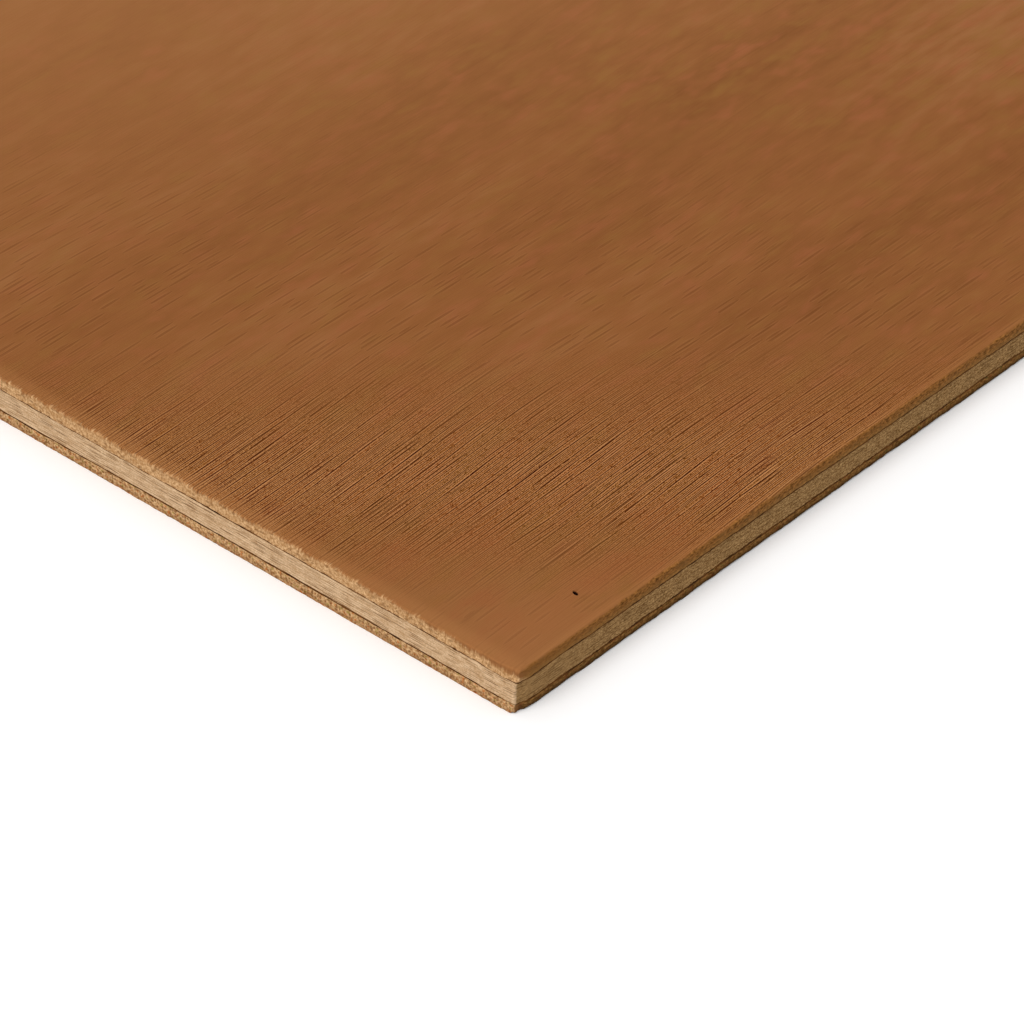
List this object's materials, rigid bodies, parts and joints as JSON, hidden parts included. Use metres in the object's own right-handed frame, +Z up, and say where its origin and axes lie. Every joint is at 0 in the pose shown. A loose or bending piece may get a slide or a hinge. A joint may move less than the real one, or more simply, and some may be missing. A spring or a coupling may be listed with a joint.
{
  "type": "plywood sheet",
  "caption": "Thin hardwood plywood sheet: crossed veneers glued face to face, with the lay-up showing as stripes on its trimmed edges.",
  "frame": {"origin": "middle of the back face, on the floor that the sheet lies on", "axes": "+X along the grain of the face veneer, which is the sheet's length; +Y across it; +Z up, out of the face"},
  "size_m": [1.22, 0.61, 0.006],
  "materials": {
    "face_veneer_wood": "sanded, unfinished",
    "core_veneer_wood": "sawn, unfinished",
    "back_veneer_wood": "sawn, unfinished",
    "cured_resin": "cured glue line, sawn"
  },
  "bodies": {
    "root": {"back_veneer": "back_veneer_wood", "lower_glue_line": "cured_resin", "core_veneer": "core_veneer_wood", "upper_glue_line": "cured_resin", "face_veneer": "face_veneer_wood"}
  },
  "joints": []
}
